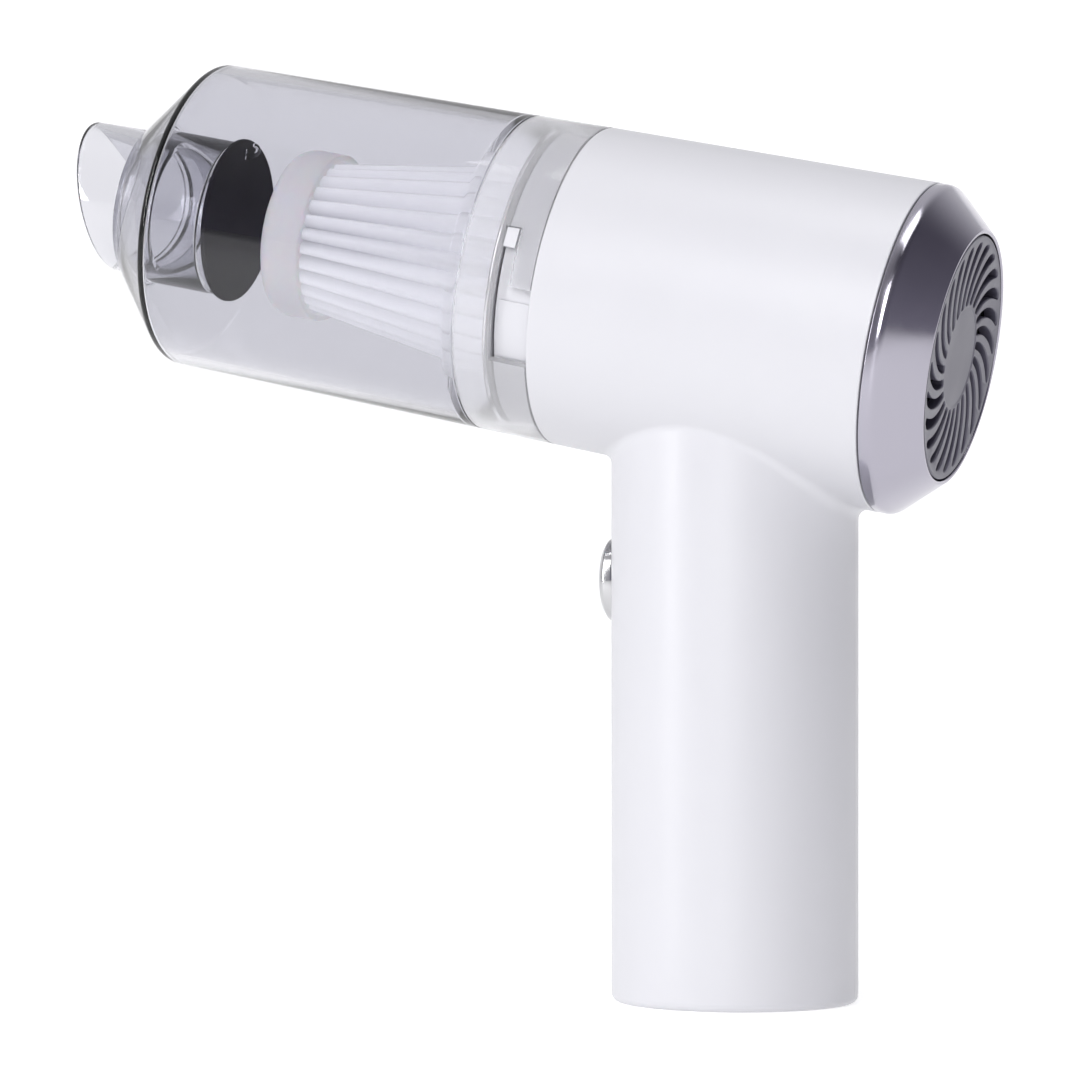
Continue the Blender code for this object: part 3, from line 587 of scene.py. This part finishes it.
def rim_rows(column, side):
    """The rounded edge beyond the barrel's front or rear rim, and its face turning inwards."""
    turn, z = rim_target(column)
    outwards = 1 if z == BARREL_FRONT else -1
    radius = barrel_radius(z)
    rows = []
    for step in range(1, CORNER_STEPS + 1):
        bend = pi / 2 * step / CORNER_STEPS
        rows.append(on_barrel(turn, z + outwards * RIM_ROUND * sin(bend), side,
                              radius - RIM_ROUND * (1 - cos(bend))))
    rows.append(on_barrel(turn, z + outwards * RIM_ROUND, side, radius - WALL_TURN_IN))
    return rows


def housing_skin(name, side):
    """Half of the shell as an open skin: one grid, with strips for the barrel's two rims."""
    columns = 2 * RIM_COLUMNS + TOP_COLUMNS
    verts, faces = [], []
    grid = []
    for column in range(columns + 1):
        points = housing_column(column, side)
        grid.append(list(range(len(verts), len(verts) + len(points))))
        verts += points
    for strip in (range(0, RIM_COLUMNS + 1), range(RIM_COLUMNS + TOP_COLUMNS, columns + 1)):
        for column in strip:
            rows = rim_rows(column, side)
            grid[column] = grid[column] + list(range(len(verts), len(verts) + len(rows)))
            verts += rows
    for first, second in zip(grid, grid[1:]):
        for row in range(min(len(first), len(second)) - 1):
            faces.append((first[row], first[row + 1], second[row + 1], second[row]))
    verts = [Vector((v.x, v.y + side * SEAM, v.z)) for v in verts]
    return add_piece(name, mesh_from(name, verts, faces, NOWHERE))


def housing_holes():
    """Fresh cutters for the button, the light and the socket."""
    return [turned("button_hole", [(0, 32), (9.5, 32), (9.5, 18), (0, 18)],
                   front_place(BUTTON_Z, BUTTON_FLATTEN), SMALL_STEPS),
            turned("lens_hole", [(0, 32), (1.5, 32), (1.5, 18), (0, 18)], front_place(LENS_Z), 32),
            prism("port_hole", pill(9.7, 4.1), 18, 32, front_place(PORT_Z))]


def add_screw_wells(half):
    """Tubes on the right half, open to the outside, with the screws' heads at their bottom."""
    for name in SCREWS:
        low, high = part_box(name)
        middle = (low + high) / 2 / MM
        place = side_place(middle.x, 0, middle.z)
        bottom = WELL_FLOOR - WELL_SEAT
        well = turned("well", [(SHANK_HOLE, bottom), (WELL_R + WALL, bottom), (WELL_R + WALL, OUTSIDE),
                               (SHANK_HOLE, OUTSIDE)], place, SCREW_STEPS)
        if middle.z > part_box("rear_ring")[0].z / MM:
            reach = BARREL_R - RIM_ROUND
            inside = turned("inside", [(0, BARREL_REAR), (reach, BARREL_REAR), (reach, -1), (0, -1)])
        else:
            angles = [radians(3 * i) for i in range(120)]
            outline = [((GRIP_A - RIM_ROUND) * cos(a), (GRIP_B - RIM_ROUND) * sin(a)) for a in angles]
            inside = prism("inside", outline, 1, 130, NOWHERE)
        cut(well, inside, operation="INTERSECT")
        cut(half, well, operation="UNION")
        cut(half, turned("bore", [(0, OUTSIDE), (WELL_R, OUTSIDE), (WELL_R, WELL_FLOOR),
                                  (0, WELL_FLOOR)], place, SCREW_STEPS))


def make_housing():
    """Both halves of the white shell, parted by a hairline on the middle plane."""
    for name, side in (("housing_left", -1), ("housing_right", 1)):
        half = housing_skin(name + "_shell", side)
        solid = half.modifiers.new("Wall", "SOLIDIFY")
        solid.thickness = WALL * MM
        solid.offset = -1
        apply_modifiers(half)
        cut(half, *housing_holes())
        if side > 0:
            add_screw_wells(half)
        settle(half, "main", "white_shell", MATERIALS["white_shell"], name)


def make_base_cap():
    """The plate in the grip's end, with its flange inside the shell."""
    flatten = (BASE_HOLE - GRIP_A + GRIP_B) / BASE_HOLE
    place = Matrix.Diagonal((1, flatten, 1, 1))
    cap = turned("base_plate", [(0, 4.1), (23.2, 4.1), (23.2, 2.75), (21.3, 2.75), (21.3, 0, 0.3),
                                (0, 0)], place)
    settle(cap, "main", "white_shell", MATERIALS["white_shell"], "base_cap")


# ---------------------------------------------------------------- neck and collar

def make_neck():
    """The fixed neck, with its lugs and the pads that show in the collar's windows."""
    neck = turned("neck", [(32.4, 8.3, 0.4), (32.4, -0.4), (32.8, -0.6), (32.8, -12.2), (30.4, -12.2),
                           (30.4, 5.6), (25.6, 5.6, 0.2), (25.6, 8.3, 0.3)])
    lugs = both_sides("lugs", 31.4, 34.55, 9.2, 16.2, 5.4, 8.1)
    pads = both_sides("pads", 31.4, 32.85, -32.5, -10.2, 0.6, 7.3)
    cut(neck, lugs, pads, operation="UNION")
    settle(neck, "main", "white_shell", MATERIALS["neck_white"], "neck_ring")


def make_collar():
    """The turning collar, with an L-shaped slot and a window on each side."""
    collar = turned("collar", [(34.8, 16.95, 0.25), (35.0, 0.15, 0.25), (33.2, 0.15), (33.2, 16.95)])
    legs = both_sides("legs", 30, 40, -7.6, 16.6, 4.9, 8.5)
    windows = both_sides("windows", 30, 40, -33.0, -4.6, -2, 8.5)
    cut(collar, legs, windows)
    settle(collar, "collar", "frosted_plastic", MATERIALS["frosted_plastic"], "bayonet_collar")


def make_cup_seal():
    """The ring that the cup presses on."""
    seal = turned("cup_ring_seal", [(32.35, 10.1, 0.5), (32.35, 8.6, 0.4), (26.6, 8.6), (26.6, 10.1)])
    settle(seal, "main", "seal_rubber", MATERIALS["seal_rubber"], "cup_seal")


# ---------------------------------------------------------------- clear cup and nozzle

def make_cup():
    """The cup, its cone front and the socket inside it, in one moulding."""
    cup = turned("cup", [(15.95, 86.4, 0.3), (15.95, 106.35, 0.2), (18.2, 106.35, 0.6),
                         (34.0, 91.9, 1.6), (34.8, 17.25, 0.25), (32.8, 17.25), (32.8, 10.4, 0.2),
                         (31.2, 10.4, 0.2), (31.2, 17.9), (33.0, 19.9, 0.8), (32.2, 91.2, 1.5),
                         (18.4, 103.6, 0.8), (17.3, 103.6, 0.3), (17.3, 86.4, 0.3)])
    settle(cup, "cup", "clear_plastic", MATERIALS["clear_plastic"], "dust_cup")


def slanted(x, y, z):
    """Stretch the nozzle's front so that its lip lies in the slanted plane."""
    if z <= NOZZLE_SHOULDER:
        return x, y, z
    share = (z - NOZZLE_SHOULDER) / (LIP_MEAN - NOZZLE_SHOULDER)
    return x, y, NOZZLE_SHOULDER + share * (LIP_MEAN + LIP_SLOPE * x - NOZZLE_SHOULDER)


def make_nozzle():
    """The short clear tube, pushed into the socket up to its shoulder."""
    nozzle = turned("nozzle_tube", [(16.1, LIP_MEAN, 0.5), (16.4, NOZZLE_SHOULDER, 0.2),
                                    (15.6, NOZZLE_SHOULDER), (15.6, 98.4, 0.3), (14.2, 98.4, 0.3),
                                    (14.4, LIP_MEAN, 0.5)], shape=slanted)
    settle(nozzle, "cup", "clear_plastic", MATERIALS["clear_plastic"], "nozzle")


def make_flap():
    """The flap behind the nozzle, and the hook it hangs on."""
    swing = next(joint for joint in frame["joints"] if joint["name"] == "flap_swing")
    hinge = Vector(swing["pos_m"]) / MM
    tilt = Matrix.Rotation(radians(FLAP_TILT), 4, "Y")
    place = (Matrix.Translation(hinge) @ BARREL.to_3x3().to_4x4() @ tilt
             @ Matrix.Translation((-HINGE_UP, 0, 0)))
    flap = turned("flap", [(0, FLAP_HALF), (FLAP_R, FLAP_HALF, 0.35), (FLAP_R, -FLAP_HALF, 0.35),
                           (0, -FLAP_HALF)], place)
    slot_x, slot_y = 1.25, 1.35
    corners = [(HINGE_UP - slot_x, -slot_y), (HINGE_UP + slot_x, -slot_y),
               (HINGE_UP + slot_x, slot_y), (HINGE_UP - slot_x, slot_y)]
    slot = prism("flap_slot", corners, -2, 2, place)
    cut(flap, slot)
    settle(flap, "flap", "flap_rubber", MATERIALS["flap_rubber"], "inlet_flap")
    hook = tube("hook", [(15.0, 0, 92.4), (15.0, 0, 89.5), (15.0, 0, 86.5), (14.9, 0, 84.0),
                         (15.2, 0, 82.6), (16.3, 0, 82.2), (17.2, 0, 82.7), (17.3, 0, 83.6)], 0.55)
    settle(hook, "cup", "clear_plastic", MATERIALS["clear_plastic"], "flap_hook")


# ---------------------------------------------------------------- filter

def make_filter_cap():
    """The milky cap on the filter's front."""
    cap = turned("filter_end", [(0, 71.0), (18.8, 71.0, 3.8), (18.8, 60.8, 0.5), (17.3, 60.8, 0.4),
                                (17.3, 62.3), (0, 62.3)])
    settle(cap, "filter", "milky_plastic", MATERIALS["milky_plastic"], "filter_cap")


def pleat_size(share):
    """Crest radius, valley radius and place along the barrel, from front (0) to rear (1)."""
    return (front + (rear - front) * share for front, rear in zip(PLEAT_FRONT, PLEAT_REAR))


def make_pleats():
    """Folded fabric round an open core, with a fold attribute that holds the painted shade of its valleys."""
    around = PLEATS * PLEAT_STEPS
    angles = [2 * pi * i / around for i in range(around)]
    verts, faces = [], []
    for row in range(PLEAT_ROWS + 1):
        crest, valley, z = pleat_size(row / PLEAT_ROWS)
        for i, angle in enumerate(angles):
            fold = abs(cos(pi * i / PLEAT_STEPS)) ** CREST_SHAPE
            radius = valley + (crest - valley) * fold
            verts.append((radius * cos(angle), radius * sin(angle), z))
    for _, valley, z in (PLEAT_REAR, PLEAT_FRONT):
        core = valley - FABRIC
        verts += [(core * cos(angle), core * sin(angle), z) for angle in angles]
    rings = PLEAT_ROWS + 3
    for ring in range(rings):
        here, there = ring * around, (ring + 1) % rings * around
        for i in range(around):
            j = (i + 1) % around
            faces.append((here + i, here + j, there + j, there + i))
    pleats = add_piece("pleats", mesh_from("pleats", verts, faces, BARREL))

    # The fold attribute is how much painted shade a point gets: deepest in the valleys, fading towards the rear
    attribute = pleats.data.attributes.new("fold", "FLOAT", "POINT")
    inverse = BARREL.inverted()
    full_depth = PLEAT_FRONT[0] - PLEAT_FRONT[1]
    for vertex, entry in zip(pleats.data.vertices, attribute.data):
        spot = inverse @ (vertex.co / MM)
        share = (spot.z - PLEAT_FRONT[2]) / (PLEAT_REAR[2] - PLEAT_FRONT[2])
        crest = next(pleat_size(share))
        depth = (crest - sqrt(spot.x ** 2 + spot.y ** 2)) / full_depth
        entry.value = max(0.0, min(1.0, depth)) * (1 - FOLD_SHADE_FADE * share)
    settle(pleats, "filter", "filter_paper", MATERIALS["filter_paper"], "filter_pleats", sharp=70)


def make_filter_base():
    """The filter's foot, with the ring in its groove."""
    base = turned("filter_foot", [(25.9, 13.5, 0.3), (25.9, 8.7, 0.2), (25.1, 8.7), (25.1, 7.8, 0.2),
                                  (24.0, 7.8), (24.0, 6.0), (25.1, 6.0, 0.2), (25.1, 3.0, 0.3),
                                  (19.0, 3.0, 0.3), (19.0, 11.0), (25.0, 11.0), (25.0, 13.5, 0.3)])
    settle(base, "filter", "milky_plastic", MATERIALS["milky_plastic"], "filter_base")
    seal = turned("filter_ring_seal", [(25.3, 7.4, 0.4), (25.3, 6.4, 0.4), (24.3, 6.4), (24.3, 7.4)])
    settle(seal, "filter", "seal_rubber", MATERIALS["seal_rubber"], "filter_seal")


# ---------------------------------------------------------------- rear end

def make_rear_ring():
    """The dark chrome ring, a cone that narrows to the grille."""
    ring = turned("chrome_ring", [(33.2, -67.0), (33.2, -74.6), (35.5, -74.6, 0.25),
                                  (35.55, -77.1, 2.6), (27.1, -86.35, 0.5), (26.6, -85.9, 0.2),
                                  (26.6, -84.0), (31.6, -79.0), (31.6, -67.0)])
    settle(ring, "main", "dark_chrome", MATERIALS["dark_chrome"], "rear_ring")


def slot_outline(index, grow):
    """A swirl slot with round ends, grown outwards by a margin."""
    pitch = 2 * pi / SLOTS
    inner, outer = SLOT_INNER - grow, SLOT_OUTER + grow
    sides = ([], [])
    for i in range(SLOT_STEPS + 1):
        along = (1 - cos(pi * i / SLOT_STEPS)) / 2
        radius = inner + (outer - inner) * along
        middle = index * pitch + radians(SLOT_SWEEP) * along ** 1.3
        width = pitch * radius / 4
        reach = min(radius - inner, outer - radius)
        end = sqrt(max(0.0, 1 - (1 - min(1.0, reach / width)) ** 2))
        half = (width + grow) * end / radius
        for side, points in zip((-1, 1), sides):
            turn = middle + side * half
            points.append((radius * cos(turn), radius * sin(turn)))
    return sides[0] + sides[1][-2:0:-1]


def grille_face(x, y):
    """Place along the barrel of the grille's outer face, which is dished towards its hub."""
    return FACE_Z - FACE_DISH * max(0.0, (sqrt(x * x + y * y) - HUB_R) / (FACE_R - HUB_R))


def make_grille():
    """The swirl grille: a flat hub, and slots with rounded mouths."""
    grille = turned("grille", [(0, -82.9), (26.25, -82.9), (26.25, -86.05, 0.45),
                               (FACE_R, FACE_Z - FACE_DISH, 0.4), (HUB_R, FACE_Z, 0.4),
                               (10.6, -85.1, 0.3), (0, -85.1)])
    slots = []
    for i in range(SLOTS):
        layers = [[(x, y, grille_face(x, y) + depth) for x, y in slot_outline(i, grow)]
                  for grow, depth in MOUTH_STEPS]
        slots.append(lofted("slot", layers))
    cut(grille, joined("slots", slots))
    settle(grille, "main", "grille_grey", MATERIALS["grille_grey"], "rear_grille")


# ---------------------------------------------------------------- grip front

def make_button():
    """The oval chrome button, dished in the middle, and its rim."""
    place = front_place(BUTTON_Z, BUTTON_FLATTEN)
    bezel = turned("button_rim", [(6.4, 28.2, 0.3), (7.2, 29.1, 0.5), (8.9, 28.0, 1.0),
                                  (9.25, 26.0, 0.6), (9.25, 22.6), (10.8, 22.6), (10.8, 21.4),
                                  (6.4, 21.4)], place, BUTTON_STEPS)
    settle(bezel, "main", "bright_chrome", MATERIALS["bright_chrome"], "button_bezel")
    button = turned("button_face", [(0, 27.8), (3.0, 27.9, 2.0), (5.2, 28.45, 0.9), (6.05, 27.6, 0.5),
                                    (6.05, 21.0), (7.3, 21.0), (7.3, 19.8), (1.2, 19.8), (1.2, 16.2),
                                    (0, 16.2)], place, BUTTON_STEPS)
    settle(button, "button", "bright_chrome", MATERIALS["bright_chrome"], "power_button")


def make_spring():
    """The coil behind the button, made at rest, without the flattening it gets as the button goes in."""
    low, high = (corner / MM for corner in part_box("button_spring"))
    middle = (low + high) / 2
    wire = 0.22
    radius = (high.y - low.y) / 2 - wire
    turns, per_turn = 5, 20
    points = []
    for i in range(turns * per_turn + 1):
        angle = 2 * pi * i / per_turn
        x = low.x + wire + (high.x - low.x - 2 * wire) * i / (turns * per_turn)
        points.append((x, middle.y + radius * cos(angle), middle.z + radius * sin(angle)))
    spring = tube("return_spring", points, wire, NOWHERE)
    settle(spring, "main", "steel", MATERIALS["steel"], "button_spring")
    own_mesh(spring)


def make_screws():
    """Pan heads with a cross recess, at the bottom of the right half's wells."""
    for name in SCREWS:
        low, high = (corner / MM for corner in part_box(name))
        middle = (low + high) / 2
        place = side_place(middle.x, high.y, middle.z)
        length = high.y - low.y
        screw = turned(name + "_body", [(0, 0), (2.3, -0.25, 0.9), (2.3, -2.2), (1.1, -2.2),
                                        (1.1, 1 - length), (0.2, -length), (0, -length)],
                       place, SCREW_STEPS)
        bars = [prism("bar", [(-a, -b), (a, -b), (a, b), (-a, b)], -1.1, 1, place)
                for a, b in ((1.35, 0.28), (0.28, 1.35))]
        cut(screw, *bars)
        settle(screw, "main", "steel", MATERIALS["steel"], name)


def make_port():
    """The charging socket with its tongue, and the light above it."""
    place = front_place(PORT_Z)
    shell = prism("socket_shell", pill(9.1, 3.5), 17.5, 26.2, place)
    cut(shell, prism("socket_bore", pill(8.3, 2.7), 19.0, 30.0, place))
    settle(shell, "main", "steel", MATERIALS["steel"], "charge_port")
    tongue = prism("socket_tongue", [(-0.35, -3.0), (0.35, -3.0), (0.35, 3.0), (-0.35, 3.0)],
                   18.8, 24.6, place)
    settle(tongue, "main", "inner_black", MATERIALS["inner_black"])
    lens = turned("charge_light", [(0, 26.95), (1.25, 26.8, 0.4), (1.25, 22.0), (0, 22.0)],
                  front_place(LENS_Z), 48)
    settle(lens, "main", "clear_plastic", MATERIALS["clear_plastic"], "indicator_lens")


# ---------------------------------------------------------------- inner pieces

def finish_inner_nodes():
    """The CAD nodes that stay get their slot's material."""
    slots = {row["node"]: row["material_slot"] for row in frame["record"]["subparts"]}
    for name, node in frame["nodes"].items():
        if not node.hide_render:
            node.data.materials.clear()
            node.data.materials.append(MATERIALS[slots[name]])


# ---------------------------------------------------------------- stage

def make_stage():
    """A pale floor that curves up into a backdrop, and glows round the object and behind it."""
    angles = [radians(5 * i) for i in range(1, 19)]
    bend = [(FLOOR_BACK + BACKDROP_BEND * sin(a), BACKDROP_BEND * (1 - cos(a))) for a in angles]
    profile = [(FLOOR_FRONT, 0.0), (FLOOR_BACK, 0.0)] + bend
    profile.append((FLOOR_BACK + BACKDROP_BEND, BACKDROP_TOP))
    verts = [(side * FLOOR_SIDE, y, z) for y, z in profile for side in (-1, 1)]
    faces = [(2 * i, 2 * i + 1, 2 * i + 3, 2 * i + 2) for i in range(len(profile) - 1)]
    mesh = bpy.data.meshes.new("floor")
    mesh.from_pydata(verts, [], faces)
    mesh.polygons.foreach_set("use_smooth", [True] * len(mesh.polygons))
    floor = add_piece("floor", mesh)
    material = shader("floor", (0.55, 0.55, 0.555), 0.6, Emission_Color=(1, 1, 1, 1))
    vary(material, "Roughness", noise(material, 30.0), 0.55, 0.65)
    tree = material.node_tree
    coords = tree.nodes.new("ShaderNodeTexCoord")
    split = tree.nodes.new("ShaderNodeSeparateXYZ")
    tree.links.new(coords.outputs["Object"], split.inputs["Vector"])
    glow = ramp_between(tree, split.outputs["Y"], -0.8, -0.25, 0.12, 0.60, smooth=True)
    tree.links.new(glow, tree.nodes["Principled BSDF"].inputs["Emission Strength"])
    mesh.materials.append(material)


def make_world():
    """A studio that is bright to the left and behind, and dark elsewhere, for the reflections."""
    world = bpy.data.worlds.new("studio")
    bpy.context.scene.world = world
    world.use_nodes = True
    tree = world.node_tree
    nodes, links = tree.nodes, tree.links
    coords = nodes.new("ShaderNodeTexCoord")
    split = nodes.new("ShaderNodeSeparateXYZ")
    links.new(coords.outputs["Generated"], split.inputs["Vector"])
    along = nodes.new("ShaderNodeVectorMath")
    along.operation = "DOT_PRODUCT"
    along.inputs[1].default_value = BRIGHT_SIDE
    links.new(coords.outputs["Generated"], along.inputs[0])
    side = ramp_between(tree, along.outputs["Value"], -0.3, 0.6, 0.0, 1.0, smooth=True)
    height = ramp_between(tree, split.outputs["Z"], 0.0, 0.8, 0.0, 1.0)
    dark = mix_colors(tree, height, (0.25, 0.24, 0.29), (0.07, 0.065, 0.085))
    links.new(mix_colors(tree, side, dark, (0.72, 0.72, 0.74)), nodes["Background"].inputs["Color"])

    # The camera itself sees a plain pale tone beyond the floor and the backdrop
    seen = nodes.new("ShaderNodeBackground")
    seen.inputs["Color"].default_value = (0.9, 0.9, 0.92, 1)
    path = nodes.new("ShaderNodeLightPath")
    choose = nodes.new("ShaderNodeMixShader")
    links.new(path.outputs["Is Camera Ray"], choose.inputs["Fac"])
    links.new(nodes["Background"].outputs["Background"], choose.inputs[1])
    links.new(seen.outputs["Background"], choose.inputs[2])
    links.new(choose.outputs["Shader"], nodes["World Output"].inputs["Surface"])


def add_area(name, place, size, power):
    """A rectangular light, with its width and height in metres, turned towards the object."""
    light = bpy.data.lights.new(name, "AREA")
    light.shape = "RECTANGLE"
    light.size, light.size_y = size
    light.energy = power
    lamp = bpy.data.objects.new(name, light)
    lamp.location = place
    lamp.rotation_euler = (Vector(AIM) - Vector(place)).to_track_quat("-Z", "Y").to_euler()
    bpy.context.scene.collection.objects.link(lamp)


def add_lights():
    """The clear cup mirrors one narrow band of directions: every light stands outside it."""
    add_area("key", (-1.25, -1.1, 0.74), (0.5, 1.0), 4.5)
    add_area("fill", (0.12, -1.65, 0.80), (0.5, 1.0), 19.0)
    add_area("top", (0.35, -0.1, 1.7), (0.9, 0.9), 9.0)
    add_area("strip", (-0.95, -1.03, 0.35), (0.12, 0.9), 4.2)


def add_camera():
    """A level camera, and plain colours for what it sees."""
    data = bpy.data.cameras.new("camera")
    data.lens = LENS_MM
    data.sensor_width = SENSOR_MM
    data.clip_start = 0.01
    camera = bpy.data.objects.new("camera", data)
    camera.location = CAMERA_PLACE
    camera.rotation_euler = (pi / 2, 0, radians(CAMERA_TURN))
    bpy.context.scene.collection.objects.link(camera)
    bpy.context.scene.camera = camera
    bpy.context.scene.view_settings.view_transform = "Standard"


make_housing()
make_base_cap()
make_neck()
make_collar()
make_cup_seal()
make_cup()
make_nozzle()
make_flap()
make_filter_cap()
make_pleats()
make_filter_base()
make_rear_ring()
make_grille()
make_button()
make_spring()
make_screws()
make_port()
finish_inner_nodes()
make_stage()
make_world()
add_lights()
add_camera()
